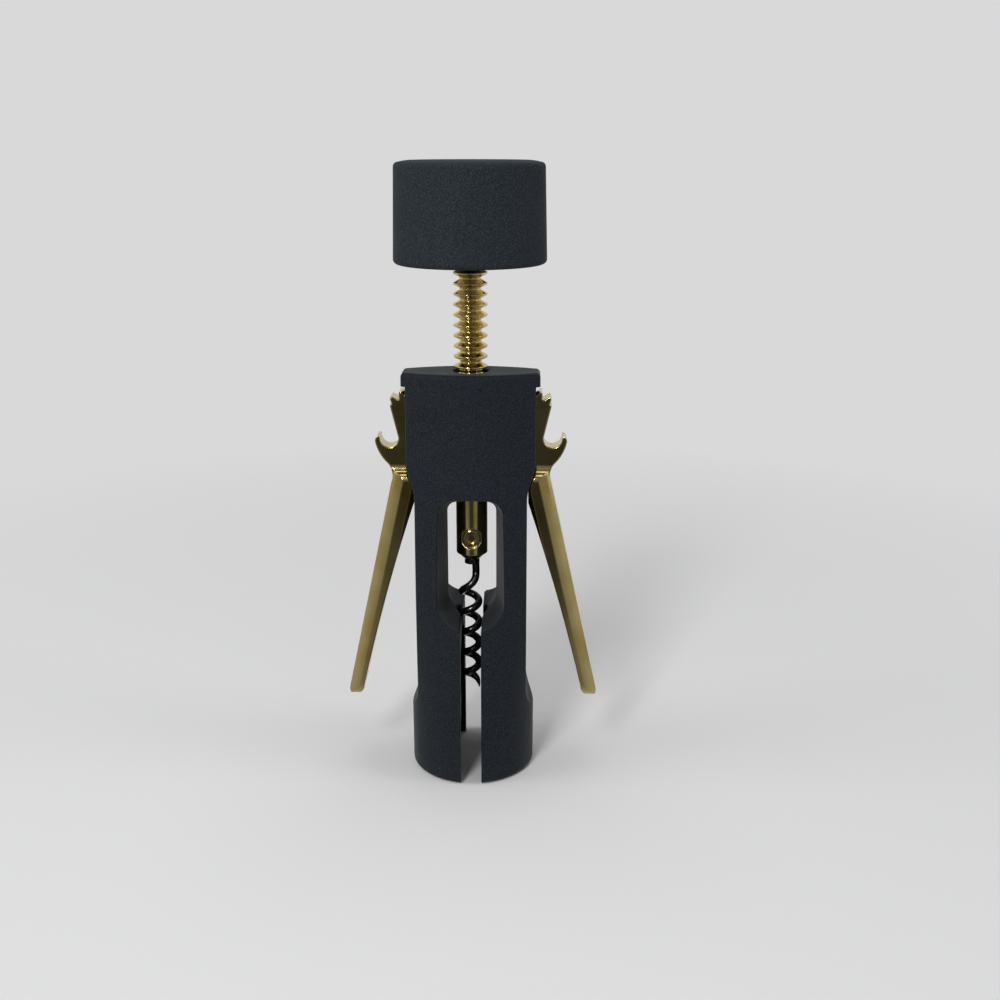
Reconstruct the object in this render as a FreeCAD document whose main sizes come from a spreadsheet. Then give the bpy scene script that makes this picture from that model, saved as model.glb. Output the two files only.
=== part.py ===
"""Wing corkscrew: a slotted bell frame, two geared levers and a ring-rack spindle with a worm.

Units are millimetres. The origin is the centre of the bell's rim, +Z points up to the handle,
the levers swing in the XZ plane and the window faces -Y and +Y. The pose is the closed one.
"""
import FreeCAD, Part
import math
import os
import re

import Sketcher

Vector = FreeCAD.Vector

# alias, value, what it is
DRIVING = (
    # bell and columns
    ("bell_radius", 17.8, "outside radius of the bell"),
    ("bell_height", 26.0, "height of the round bell below the columns"),
    ("rim_round", 1.6, "rounding of the bell's outer rim edge"),
    ("neck_bore_radius", 15.3, "bore that takes the bottle neck"),
    ("neck_bore_depth", 19.0, "depth of the bottle neck bore"),
    ("neck_lead", 0.4, "chamfer at the mouth of the neck bore"),
    ("cork_bore_radius", 12.0, "room for the drawn cork above the neck"),
    ("cork_room_height", 18.0, "height of the cork room above the neck bore"),
    ("cork_room_cone", 5.0, "height over which the cork room closes"),
    ("column_inset", 2.3, "step from the lever housing in to the columns"),
    ("runout_radius", 13.0, "radius of the side flat's run-out into the bell"),
    ("slot_half_width", 2.95, "half width of the front and back slots"),
    # window, at the middle plane and at a plane in front of the frame
    ("window_inner_half", 6.9, "half width of the window at the middle plane"),
    ("window_top_drop", 37.6, "cap's top down to the window's top at the middle plane"),
    ("window_inner_round", 2.4, "top corner radius at the middle plane"),
    ("window_inner_vee", 27.0, "bell's top up to the start of the window's vee, middle plane"),
    ("vee_inner_drop", 5.7, "fall of the vee's rounded side at the middle plane"),
    ("window_draft_half", 3.5, "growth of the half width out to the draft plane"),
    ("window_draft_top", 6.3, "growth of the top out to the draft plane"),
    ("window_draft_round", 4.0, "growth of the corner radius out to the draft plane"),
    ("window_draft_vee", 2.1, "rise of the vee's start out to the draft plane"),
    ("vee_draft_drop", 2.6, "growth of the vee's fall out to the draft plane"),
    ("window_draft_plane", 19.0, "distance of the draft plane from the middle"),
    ("vee_height", 20.5, "bell's top up to the bottom of the window's vee"),
    ("vee_step", 0.4, "step from the vee's foot in to the slot"),
    # housing and cap
    ("pin_wall", 0.98, "housing wall outside a pivot pin"),
    ("narrowing_drop", 24.3, "cap's top down to where the housing starts to narrow"),
    ("narrowing_height", 11.0, "height over which the housing narrows to the columns"),
    ("cap_overhang", 1.15, "overhang of the cap over the lever housing"),
    ("overhang_thickness", 3.7, "thickness of the cap's sides"),
    ("cap_thickness", 4.2, "thickness of the cap round the guide bush"),
    ("frame_height", 117.3, "top of the cap"),
    ("cap_half_depth", 8.6, "half depth of the cap"),
    ("cap_face_radius", 42.0, "radius of the cap's front and back faces"),
    ("corner_round", 1.2, "rounding of the frame's upright corners and of the cap's top"),
    # levers and gearing
    ("pivot_drop", 16.3, "cap's top down to the lever pivots"),
    ("pin_radius", 2.0, "radius of the pivot pins"),
    ("pin_blind", 1.0, "depth of the pivot holes in the front wall"),
    ("pin_behind", 1.4, "length of a pivot pin in the back wall"),
    ("lever_thickness", 6.0, "thickness of the toothed lever head"),
    ("lever_play", 0.12, "side play of a lever head in its slot"),
    ("ring_pitch", 2.8, "pitch of the rack rings"),
    ("gear_teeth", 25.0, "teeth on a full circle of the lever gear"),
    ("pressure_angle", 28.0, "flank angle of the rack rings"),
    ("tooth_phase", 3.0, "angle of the meshed tooth below the pivot line"),
    ("tooth_addendum", 0.59, "height of a tooth above its pitch circle"),
    ("tooth_play", 0.22, "play between a tooth and the rings, along the pitch line"),
    ("mesh_play", 0.15, "play between a ring and the gear's root"),
    ("pin_play", 0.05, "radial play of a lever on its pin"),
    ("last_tooth", 9.0, "number of the outermost tooth, the meshed one is 0"),
    ("hook_reach", 11.62, "outermost point of the hook from its pivot"),
    ("arm_length", 79.8, "tip of a closed arm below its pivot"),
    ("arm_root", 4.15, "outer side of a closed arm, carried up to the pivot's height"),
    ("arm_tip_out", 21.75, "outer side of a closed arm at its tip, from the pivot"),
    ("heel_drop", 20.2, "heel of a closed arm below its pivot"),
    ("heel_bevel", 2.2, "bevel of the heel at the shoulder"),
    ("neck_drop", 14.7, "lower end of the curve between hook and arm, below the pivot"),
    ("shoulder_drop", 9.6, "upper end of the shoulder between head and arm, below the pivot"),
    ("shoulder_height", 4.3, "height of that shoulder"),
    ("arm_half_depth", 6.0, "half depth of a lever arm at its shoulder"),
    ("arm_tip_half_depth", 5.0, "half depth of a lever arm near its tip"),
    ("arm_bevel_across", 3.2, "outer bevel of an arm, seen from the front"),
    ("arm_bevel_deep", 2.6, "outer bevel of an arm, seen from the side"),
    ("arm_bevel_bulge", 0.3, "bulge of that bevel over a flat one"),
    ("arm_gap", 0.35, "gap between a closed arm and the frame"),
    # spindle, worm and rivet
    ("ring_radius", 4.65, "radius of the rack rings"),
    ("rack_pitch_radius", 3.78, "radius of the rack's pitch line"),
    ("ring_root_radius", 2.95, "radius of the rack between its rings"),
    ("ring_count", 18.0, "number of rack rings"),
    ("hub_radius", 4.45, "radius of the worm socket"),
    ("hub_length", 31.6, "length of the worm socket"),
    ("hub_chamfer_across", 2.0, "lower chamfer of the socket, radially"),
    ("hub_chamfer_high", 1.9, "lower chamfer of the socket, upwards"),
    ("slide_play", 0.2, "radial play of the rings in the frame's bore"),
    ("socket_depth", 16.0, "depth of the worm socket's bore"),
    ("socket_end_gap", 0.4, "gap between the shank's end and the bottom of that bore"),
    ("rivet_height", 6.9, "rivet above the lower end of the socket"),
    ("rivet_radius", 1.5, "radius of the worm rivet"),
    ("rivet_head_radius", 2.5, "radius of the rivet's heads"),
    ("rivet_head_height", 0.75, "height of a rivet head over its seat"),
    ("rivet_dish_depth", 0.4, "depth of the hollow in a rivet head"),
    ("rivet_bevel", 0.3, "bevel round a rivet head and its hollow"),
    ("rivet_seat_radius", 3.0, "radius of the recess round a rivet head"),
    ("rivet_seat_depth", 1.0, "depth of that recess, from the socket's surface"),
    ("shank_radius", 2.15, "radius of the worm's shank"),
    ("shank_stub", 1.5, "length of the shank below the socket"),
    ("wire_radius", 1.07, "radius of the worm's wire"),
    ("lead_straight", 3.4, "straight length of the wire below the shank"),
    ("helix_radius", 2.4, "radius of the worm's centre line"),
    ("helix_offset", 0.55, "leftward offset of the winding from the spindle"),
    ("helix_pitch", 6.4, "pitch of the worm"),
    ("helix_drop", 13.5, "worm socket's lower end down to the first right-hand turn"),
    ("helix_turns", 4.0, "whole turns below that height"),
    ("point_drop", 1.6, "extra fall of the worm's point below its last turn"),
    # guide bush
    ("cap_web", 1.2, "thickness of the cap above the guide bush"),
    ("cap_hole_play", 0.3, "radial play of the rings in the cap's hole"),
    ("bush_radius", 6.6, "outside radius of the guide bush"),
    ("bush_wall", 0.9, "wall round the guide bush below the cap's underside"),
    ("bush_height", 2.0, "height of the guide bush"),
    ("bush_play", 0.06, "radial running play of the guide bush"),
    ("bush_end_play", 0.1, "end play of the guide bush"),
    # handle
    ("handle_gap", 29.0, "cap's top up to the underside of the handle"),
    ("handle_height", 26.6, "height of the handle"),
    ("handle_top_radius", 20.0, "radius of the handle at its top"),
    ("handle_bottom_radius", 20.6, "radius of the handle at its underside"),
    ("handle_crown", 0.45, "drop of the crowned edge of the handle's top"),
    ("handle_crown_width", 3.4, "width of the crowned edge"),
    ("handle_edge_round", 1.3, "rounding of the handle's edges"),
    ("handle_wall", 2.4, "side wall of the handle shell"),
    ("handle_roof", 2.8, "roof of the handle shell"),
    ("base_thickness", 3.0, "thickness of the handle base"),
    ("boss_radius", 6.5, "radius of the boss on the handle base"),
    ("boss_height", 13.0, "height of that boss above the base"),
    ("handle_pin_radius", 1.25, "radius of the handle's cross pin"),
    ("handle_pin_inset", 0.3, "ends of that pin below the boss's surface"),
)

# alias, formula, what it is
DERIVED = (
    ("gear_radius", "gear_teeth*ring_pitch/(2*pi)", "pitch radius of the lever gear"),
    ("pivot_x", "gear_radius+rack_pitch_radius", "lever pivot from the axis"),
    ("pivot_z", "frame_height-pivot_drop", "height of the lever pivots"),
    ("housing_half_width", "pivot_x+pin_radius+pin_wall", "half width of the lever housing"),
    ("cap_half_width", "housing_half_width+cap_overhang", "half width of the cap"),
    ("column_half_width", "housing_half_width-column_inset", "half width over the columns"),
    ("tower_height", "frame_height-bell_height", "height of columns, housing and cap"),
    ("cap_underside", "frame_height-overhang_thickness", "underside of the cap's sides"),
    ("slot_top", "frame_height-cap_thickness", "ceiling of the lever slot over the rack"),
    ("slot_half", "lever_thickness/2+lever_play", "half width of the lever slot"),
    ("neck_in_top", "frame_height-narrowing_drop", "height where the housing starts to narrow"),
    ("neck_in_bottom", "neck_in_top-narrowing_height", "lower end of the narrowing"),
    ("cork_bore_top", "neck_bore_depth+cork_room_height", "height where the cork room closes"),
    ("vee_bottom", "bell_height+vee_height", "bottom of the window's vee, top of the slot"),
    ("vee_foot", "slot_half_width+vee_step", "half width of the vee's foot"),
    ("gear_tip", "gear_radius+tooth_addendum", "tip radius of the lever gear"),
    ("gear_root", "pivot_x-ring_radius-mesh_play", "root radius of the lever gear"),
    ("slot_floor", "pivot_z-gear_tip-mesh_play*2", "floor of the lever slot"),
    ("shaft_bore", "ring_radius+slide_play", "radius of the frame's bore for the spindle"),
    ("cap_hole", "ring_radius+cap_hole_play", "radius of the hole in the cap"),
    ("bush_bore", "ring_radius+bush_play", "bore of the guide bush"),
    ("bush_seat", "bush_radius+bush_play", "radius of the guide bush's seat"),
    ("bush_top", "frame_height-cap_web-bush_end_play", "top of the guide bush"),
    ("bush_bottom", "bush_top-bush_height", "underside of the guide bush"),
    ("arm_in", "column_half_width+arm_gap-pivot_x", "inner side of a lever's heel"),
    ("arm_lean", "(arm_tip_out-arm_root)/arm_length", "outward lean of a closed arm"),
    ("flat", "lever_thickness/2", "half thickness of the toothed lever head"),
    ("first_ring", "pivot_z-gear_radius*sin(tooth_phase)-1.5*ring_pitch", "lowest rack ring"),
    ("hub_top", "first_ring-ring_pitch/2", "top of the worm socket"),
    ("hub_bottom", "hub_top-hub_length", "lower end of the worm socket"),
    ("helix_top", "hub_bottom-helix_drop", "height of the worm's first right-hand turn"),
    ("rivet_z", "hub_bottom+rivet_height", "height of the worm rivet"),
    ("handle_bottom", "frame_height+handle_gap", "underside of the handle"),
    ("handle_top", "handle_bottom+handle_height", "top of the handle"),
    ("base_top", "handle_bottom+base_thickness", "upper face of the handle base"),
    ("base_radius", "handle_bottom_radius-handle_wall", "radius of the handle base"),
    ("boss_top", "base_top+boss_height", "top of the boss in the handle"),
    ("handle_pin_z", "base_top+boss_height/2", "height of the handle's cross pin"),
)

DOC = FreeCAD.newDocument("wing_corkscrew")
SHEET = DOC.addObject("Spreadsheet::Sheet", "sizes")
ALIASES = set()


def fill_sheet():
    """Write the driving sizes and the sizes that follow from them."""
    for row, (alias, value, note) in enumerate(DRIVING + DERIVED, start=1):
        text = "=" + value if isinstance(value, str) else str(value)
        SHEET.set("A%d" % row, note)
        SHEET.set("B%d" % row, text)
        SHEET.setAlias("B%d" % row, alias)
        ALIASES.add(alias)
    DOC.recompute()


def bound(formula):
    """Return a formula with the sheet's name before each alias, as an expression needs it."""
    def name(match):
        word = match.group(0)
        return "sizes." + word if word in ALIASES else word
    return re.sub(r"[a-z][a-z_]*", name, formula)


def size(formula):
    """Return the value of a formula of the sheet's aliases."""
    return float(SHEET.evalExpression(bound(formula)))


def bind(thing, **formulas):
    """Bind properties of a document object to formulas of the sheet's aliases."""
    for prop, formula in formulas.items():
        thing.setExpression(prop, bound(formula))


# ---------------------------------------------------------------- sketches and features


def origin_plane(body, role):
    """Return one of a body's origin planes."""
    return next(item for item in body.Origin.OriginFeatures if item.Role == role)


def new_body(name):
    """Start a PartDesign body whose label names its file."""
    body = DOC.addObject("PartDesign::Body", name)
    body.Label = name
    return body


def new_sketch(body, name, role, offset="0"):
    """Start a sketch on an origin plane of a body, moved along the plane's normal."""
    sketch = body.newObject("Sketcher::SketchObject", name)
    sketch.AttachmentSupport = [(origin_plane(body, role), "")]
    sketch.MapMode = "FlatFace"
    sketch.setExpression(".AttachmentOffset.Base.z", bound(offset))
    return sketch


def corner(sketch, edge, end, point):
    """Tie one end of an edge to a place given by two formulas."""
    for kind, formula in zip(("DistanceX", "DistanceY"), point):
        index = sketch.addConstraint(Sketcher.Constraint(kind, -1, 1, edge, end, size(formula)))
        sketch.setExpression("Constraints[%d]" % index, bound(formula))


def outline(sketch, start, *steps):
    """Draw a closed outline. A step is a corner, or a corner with a point that its arc passes."""
    def place(point):
        return Vector(size(point[0]), size(point[1]), 0)

    edges = []
    before = start
    for step in steps:
        if len(step) == 2:
            edge = sketch.addGeometry(Part.LineSegment(place(before), place(step)), False)
            edges.append((edge, 1, 2))
            corner(sketch, edge, 1, before)
        else:
            corners = [place(before), place(step[2:]), place(step[:2])]
            leftwards = (corners[1] - corners[0]).cross(corners[2] - corners[1]).z > 0
            if not leftwards:
                corners.reverse()
            edge = sketch.addGeometry(Part.Arc(*corners), False)
            real = sketch.Geometry[edge]
            first, last = (1, 2) if leftwards else (2, 1)
            edges.append((edge, first, last))
            corner(sketch, edge, first, before)
            sketch.addConstraint(Sketcher.Constraint("Radius", edge, real.Radius))
        before = step[:2]
    for (edge, _, last), (after, first, _) in zip(edges, edges[1:] + edges[:1]):
        sketch.addConstraint(Sketcher.Constraint("Coincident", edge, last, after, first))
    return sketch


def circle(sketch, point, radius):
    """Draw a circle about a place given by two formulas."""
    centre = Vector(size(point[0]), size(point[1]), 0)
    edge = sketch.addGeometry(Part.Circle(centre, Vector(0, 0, 1), size(radius)), False)
    corner(sketch, edge, 3, point)
    index = sketch.addConstraint(Sketcher.Constraint("Radius", edge, size(radius)))
    sketch.setExpression("Constraints[%d]" % index, bound(radius))
    return sketch


def feature(body, kind, name, sketch, **formulas):
    """Add a PartDesign feature that uses a sketch, with its lengths bound to the sheet."""
    made = body.newObject("PartDesign::" + kind, name)
    made.Profile = sketch
    bind(made, **formulas)
    return made


def pad_both_ways(body, kind, name, sketch, length):
    """Pad or pocket a sketch by half of a length to each side of its plane."""
    made = feature(body, kind, name, sketch, Length=length)
    made.Midplane = True
    DOC.recompute()
    return made


def turned(body, kind, name, sketch):
    """Revolve or groove a sketch about the body's Z axis."""
    made = body.newObject("PartDesign::" + kind, name)
    made.Profile = sketch
    made.ReferenceAxis = (origin_plane(body, "Z_Axis"), [""])
    made.Angle = 360
    DOC.recompute()
    return made


def mirrored(body, name, original, role):
    """Mirror a feature about an origin plane."""
    made = body.newObject("PartDesign::Mirrored", name)
    made.Originals = [original]
    made.MirrorPlane = (origin_plane(body, role), [""])
    body.Tip = made
    DOC.recompute()
    return made


def edges_where(shape, test):
    """Name the edges of a shape that pass a test."""
    return ["Edge%d" % number for number, edge in enumerate(shape.Edges, start=1) if test(edge)]


def dressed(body, kind, name, base, test, **formulas):
    """Add a fillet or chamfer on the edges that pass a test."""
    made = body.newObject("PartDesign::" + kind, name)
    made.Base = (base, edges_where(base.Shape, test))
    bind(made, **formulas)
    DOC.recompute()
    return made


# ---------------------------------------------------------------- frame

# the frame's lens-shaped sections: share of the tower's height, of the way from the cap's half
# depth to the bell's radius, and from the bell's radius to the cap's face radius; half width
FRAME_SECTIONS = (
    ("0", "1", "0", "bell_radius*0.92"),
    ("0.285", "0.826", "0.167", "bell_radius"),
    ("0.591", "0.446", "0.542", "cap_half_width*0.985"),
    ("1", "0", "1", "cap_half_width"),
)


def lens(body, number, rise, deep, curved, half_width):
    """Draw one lens-shaped section: curved front and back, flat sides."""
    sketch = new_sketch(body, "section_%d" % number, "XY_Plane",
                        "bell_height+tower_height*%s" % rise)
    half_depth = "cap_half_depth+(bell_radius-cap_half_depth)*%s" % deep
    radius = "bell_radius+(cap_face_radius-bell_radius)*%s" % curved
    side = "(%s)-(%s)+sqrt((%s)^2-(%s)^2)" % (half_depth, radius, radius, half_width)
    return outline(
        sketch,
        ("-(%s)" % half_width, "-(%s)" % side),
        (half_width, "-(%s)" % side, "0", "-(%s)" % half_depth),
        (half_width, side),
        ("-(%s)" % half_width, side, "0", half_depth),
        ("-(%s)" % half_width, "-(%s)" % side),
    )


def window_outline(sketch, half, top, round_, vee, drop, bottom):
    """Draw the window: rounded top corners, straight sides and a rounded vee down to the slot."""
    bend = "(%s)*(1-sqrt(0.5))" % round_
    inset = "(%s-vee_foot)" % half
    chord = "sqrt(%s^2+(%s)^2)" % (inset, drop)
    middle = "%s-%s*(%s-(%s))/(2*%s)" % (half, chord, chord, drop, inset)
    return outline(
        sketch,
        ("-vee_foot", bottom),
        ("vee_foot", bottom),
        ("vee_foot", "%s-(%s)" % (vee, drop)),
        (half, vee, middle, "%s-%s/2" % (vee, chord)),
        (half, "%s-(%s)" % (top, round_)),
        ("%s-(%s)" % (half, round_), top, "%s-%s" % (half, bend), "%s-%s" % (top, bend)),
        ("-(%s-(%s))" % (half, round_), top),
        ("-(%s)" % half, "%s-(%s)" % (top, round_),
         "-(%s-%s)" % (half, bend), "%s-%s" % (top, bend)),
        ("-(%s)" % half, vee),
        ("-vee_foot", "%s-(%s)" % (vee, drop), "-(%s)" % middle, "%s-%s/2" % (vee, chord)),
        ("-vee_foot", bottom),
    )


def narrowing(gap):
    """Return five places up a curve that keeps a gap to the housing's narrowing."""
    shares = ((0, 0), (0.126, 0.2546), (0.5, 0.5), (0.874, 0.7454), (1, 1))
    return [("column_half_width+column_inset*%s+%s" % (across, gap),
             "neck_in_bottom+narrowing_height*%s" % up) for across, up in shares]


def make_frame():
    """Cast frame: bell, columns, lever housing and cap in one piece."""
    body = new_body("frame")
    bell = outline(
        new_sketch(body, "bell_profile", "XZ_Plane"),
        ("0", "0"),
        ("bell_radius-rim_round", "0"),
        ("bell_radius", "rim_round",
         "bell_radius-rim_round*(1-sqrt(0.5))", "rim_round*(1-sqrt(0.5))"),
        ("bell_radius", "bell_height"),
        ("0", "bell_height"),
        ("0", "0"),
    )
    turned(body, "Revolution", "bell", bell)

    sections = [lens(body, number, *values) for number, values in enumerate(FRAME_SECTIONS)]
    tower = body.newObject("PartDesign::AdditiveLoft", "tower")
    tower.Profile = sections[0]
    tower.Sections = sections[1:]
    DOC.recompute()

    # the sides: cap overhang, housing, narrowing to the columns, run-out into the bell
    low, low_side, middle, high_side, high = narrowing("0")
    drop = "sqrt(runout_radius^2-(runout_radius-bell_radius+column_half_width)^2)"
    sides = outline(
        new_sketch(body, "side_outline", "XZ_Plane"),
        ("bell_radius", "bell_height-%s" % drop),
        ("column_half_width", "bell_height", "column_half_width+runout_radius*(1-cos(16))",
         "bell_height-runout_radius*sin(16)"),
        low,
        middle + low_side,
        high + high_side,
        ("housing_half_width", "cap_underside"),
        ("cap_half_width*1.4", "cap_underside"),
        ("cap_half_width*1.4", "bell_height-%s" % drop),
        ("bell_radius", "bell_height-%s" % drop),
    )
    cut = pad_both_ways(body, "Pocket", "side_cut", sides, "bell_radius*4")
    last = mirrored(body, "side_cuts", cut, "YZ_Plane")

    def rounded(edge):
        """Tell the upright corners of columns, housing and cap, and the cap's top edge."""
        box = edge.BoundBox
        beside = min(abs(box.XMin), abs(box.XMax)) > size("column_half_width-0.1")
        upright = box.ZMin > size("bell_height-0.1") and box.ZLength > size("cap_overhang*1.5")
        return (beside and upright) or box.ZMin > size("frame_height-0.01")

    dressed(body, "Fillet", "rounds", last, rounded, Radius="corner_round")

    # window from both faces, slots, lever slot
    top = "frame_height-window_top_drop"
    vee = "bell_height+window_inner_vee"
    inner = window_outline(
        new_sketch(body, "window_middle", "XZ_Plane"), "window_inner_half", top,
        "window_inner_round", vee, "vee_inner_drop", "vee_bottom")
    outer = window_outline(
        new_sketch(body, "window_face", "XZ_Plane", "window_draft_plane"),
        "window_inner_half+window_draft_half", top + "+window_draft_top",
        "window_inner_round+window_draft_round", vee + "+window_draft_vee",
        "vee_inner_drop+vee_draft_drop", "vee_bottom")
    window = body.newObject("PartDesign::SubtractiveLoft", "window")
    window.Profile = inner
    window.Sections = [outer]
    DOC.recompute()
    mirrored(body, "windows", window, "XZ_Plane")

    slots = outline(
        new_sketch(body, "slot_outline", "XZ_Plane"),
        ("-slot_half_width", "-1"), ("slot_half_width", "-1"),
        ("slot_half_width", "vee_bottom+1"), ("-slot_half_width", "vee_bottom+1"),
        ("-slot_half_width", "-1"),
    )
    pad_both_ways(body, "Pocket", "slots", slots, "bell_radius*4")

    # the lever slot's ceiling steps down round the guide bush
    far = "cap_half_width*1.4"
    heel = "pivot_x+arm_in-arm_gap"
    seat = "bush_seat+bush_wall"
    levers = outline(
        new_sketch(body, "lever_slot_outline", "XZ_Plane"),
        ("-(%s)" % far, "neck_in_bottom-column_inset*3"),
        ("-(%s)" % heel, "neck_in_bottom-column_inset*3"),
        ("-(%s)" % heel, "slot_floor-column_inset"),
        ("-(%s-column_inset)" % heel, "slot_floor"),
        ("%s-column_inset" % heel, "slot_floor"),
        (heel, "slot_floor-column_inset"),
        (heel, "neck_in_bottom-column_inset*3"),
        (far, "neck_in_bottom-column_inset*3"),
        (far, "cap_underside"),
        (seat, "cap_underside"),
        (seat, "slot_top"),
        ("-(%s)" % seat, "slot_top"),
        ("-(%s)" % seat, "cap_underside"),
        ("-(%s)" % far, "cap_underside"),
        ("-(%s)" % far, "neck_in_bottom-column_inset*3"),
    )
    pad_both_ways(body, "Pocket", "lever_slot", levers, "slot_half*2")

    # neck bore, cork room, way through for the spindle, bush seat and cap hole
    bores = outline(
        new_sketch(body, "bore_profile", "XZ_Plane"),
        ("0", "-1"),
        ("neck_bore_radius+neck_lead+1", "-1"),
        ("neck_bore_radius", "neck_lead"),
        ("neck_bore_radius", "neck_bore_depth"),
        ("cork_bore_radius", "neck_bore_depth"),
        ("cork_bore_radius", "cork_bore_top"),
        ("shaft_bore", "cork_bore_top+cork_room_cone"),
        ("shaft_bore", "slot_top-1"),
        ("bush_seat", "slot_top-1"),
        ("bush_seat", "frame_height-cap_web"),
        ("cap_hole", "frame_height-cap_web"),
        ("cap_hole", "frame_height+1"),
        ("0", "frame_height+1"),
        ("0", "-1"),
    )
    turned(body, "Groove", "bores", bores)

    # blind pivot holes, open to the back
    pivots = new_sketch(body, "pivot_holes_outline", "XZ_Plane", "slot_half+pin_blind")
    circle(pivots, ("pivot_x", "pivot_z"), "pin_radius")
    circle(pivots, ("-pivot_x", "pivot_z"), "pin_radius")
    holes = feature(body, "Pocket", "pivot_holes", pivots, Length="bell_radius*2")
    DOC.recompute()
    body.Tip = holes
    return body


# ---------------------------------------------------------------- levers

# places on the lever head from its pivot, outwards and upwards, in hook_reach
HOOK_TIP = (0.934, -0.129)
HOOK_BITE = (0.886, -0.151)
HOOK_SIDE = (1.0, -0.275)
HOOK_FOOT = (0.705, -0.805)
NOTCH_BOTTOM = (0.667, -0.406)
NOTCH_END = (0.442, -0.172)
NECK_SIDE = (0.600, -1.060)
HOOK_BACK = (0.921, -0.505)
HOOK_NOSE = (0.983, -0.179)


def reach(point):
    """Turn a place given in hook_reach into two formulas."""
    return tuple("hook_reach*(%s)" % share for share in point)


def at_pivot(*numbers):
    """Move formulas given from the lever's pivot to the frame's origin, two by two."""
    axes = ("pivot_x", "pivot_z") * (len(numbers) // 2)
    return tuple("%s+(%s)" % pair for pair in zip(axes, numbers))


def head_outline(body):
    """Draw the toothed head with its hook and the neck down to the arm."""
    tooth = "360/gear_teeth"
    begin = "180-(last_tooth*%s-tooth_phase)-%s*0.31" % (tooth, tooth)
    end = "180+%s*1.5+tooth_phase" % tooth

    def polar(radius, angle):
        return ("(%s)*cos(%s)" % (radius, angle), "(%s)*sin(%s)" % (radius, angle))

    heel = ("arm_in", "-sqrt(gear_root^2-arm_in^2)")
    return outline(
        new_sketch(body, "head_profile", "XZ_Plane"),
        at_pivot(*polar("gear_tip", begin)),
        at_pivot(*polar("gear_tip", end), *polar("gear_tip", "(%s+%s)/2" % (begin, end))),
        at_pivot(*polar("gear_root", end)),
        at_pivot(*heel, *polar("gear_root", "(%s+270)/2" % end)),
        at_pivot("arm_in", "-heel_drop"),
        at_pivot("arm_root+arm_lean*heel_drop", "-heel_drop"),
        at_pivot("arm_root+arm_lean*neck_drop", "-neck_drop"),
        at_pivot(*reach(HOOK_FOOT), *reach(NECK_SIDE)),
        at_pivot(*reach(HOOK_SIDE), *reach(HOOK_BACK)),
        at_pivot(*reach(HOOK_TIP), *reach(HOOK_NOSE)),
        at_pivot(*reach(HOOK_BITE)),
        at_pivot(*reach(NOTCH_END), *reach(NOTCH_BOTTOM)),
        at_pivot(*polar("gear_tip", begin)),
    )


def tooth_gap(body):
    """Draw the gap under the lowest tooth, with flanks as arcs through three involute points."""
    teeth, pitch = size("gear_teeth"), size("gear_radius")
    pressure = math.radians(size("pressure_angle"))
    base = pitch * math.cos(pressure)

    def involute(angle):
        return math.tan(angle) - angle

    def half_gap(radius):
        at_radius = math.acos(min(1.0, base / radius))
        tooth_half = math.pi / (2 * teeth) + involute(pressure) - involute(at_radius)
        return math.pi / teeth - tooth_half + size("tooth_play") / (2 * pitch)

    middle = math.pi + math.radians(size("tooth_phase")) + 3 * math.pi / teeth

    def point(radius, side):
        angle = middle + side * half_gap(radius)
        place = (size("pivot_x") + radius * math.cos(angle),
                 size("pivot_z") + radius * math.sin(angle))
        return Vector(place[0], place[1], 0)

    bottom, top = size("gear_root"), size("gear_tip") + 0.4
    halfway = (bottom + top) / 2
    edges = (
        Part.LineSegment(point(bottom, -1), point(bottom, 1)),
        Part.Arc(point(bottom, 1), point(halfway, 1), point(top, 1)),
        Part.LineSegment(point(top, 1), point(top, -1)),
        Part.Arc(point(top, -1), point(halfway, -1), point(bottom, -1)),
    )
    sketch = new_sketch(body, "tooth_gap_profile", "XZ_Plane")
    for edge in edges:
        number = sketch.addGeometry(edge, False)
        sketch.addConstraint(Sketcher.Constraint("Block", number))
    return sketch


def wedge_section(body, name, fall, ridge, side, deep, bulge=None):
    """Draw what an arm's bevel takes away at a fall below the pivot.

    The bevel runs from the front face at ridge to a depth of deep behind that face at side.
    """
    face = "arm_half_depth-(arm_half_depth-arm_tip_half_depth)*(%s-shoulder_drop)" % fall
    face += "/(arm_length-shoulder_drop)"
    across = "((%s)-(%s))" % (side, ridge)
    foot = (side, "%s-(%s)" % (face, deep))
    if bulge:
        chord = "sqrt(%s^2+(%s)^2)" % (across, deep)
        foot += ("((%s)+(%s))/2+%s*(%s)/%s" % (ridge, side, bulge, deep, chord),
                 "%s-(%s)/2+%s*%s/%s" % (face, deep, bulge, across, chord))
    far = "(%s)+%s*0.5" % (side, across)
    high = "%s+arm_bevel_deep" % face
    return outline(
        new_sketch(body, name, "XY_Plane", "pivot_z-(%s)" % fall),
        (ridge, face),
        foot,
        (far, "%s-(%s)" % (face, deep)),
        (far, high),
        (ridge, high),
        (ridge, face),
    )


def bevel(body, name, above, below):
    """Cut a long bevel off an arm's front edge, and its mirror image off the back edge."""
    cut = body.newObject("PartDesign::SubtractiveLoft", name)
    cut.Profile = above
    cut.Sections = [below]
    DOC.recompute()
    return mirrored(body, name + "s", cut, "XZ_Plane")


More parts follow.
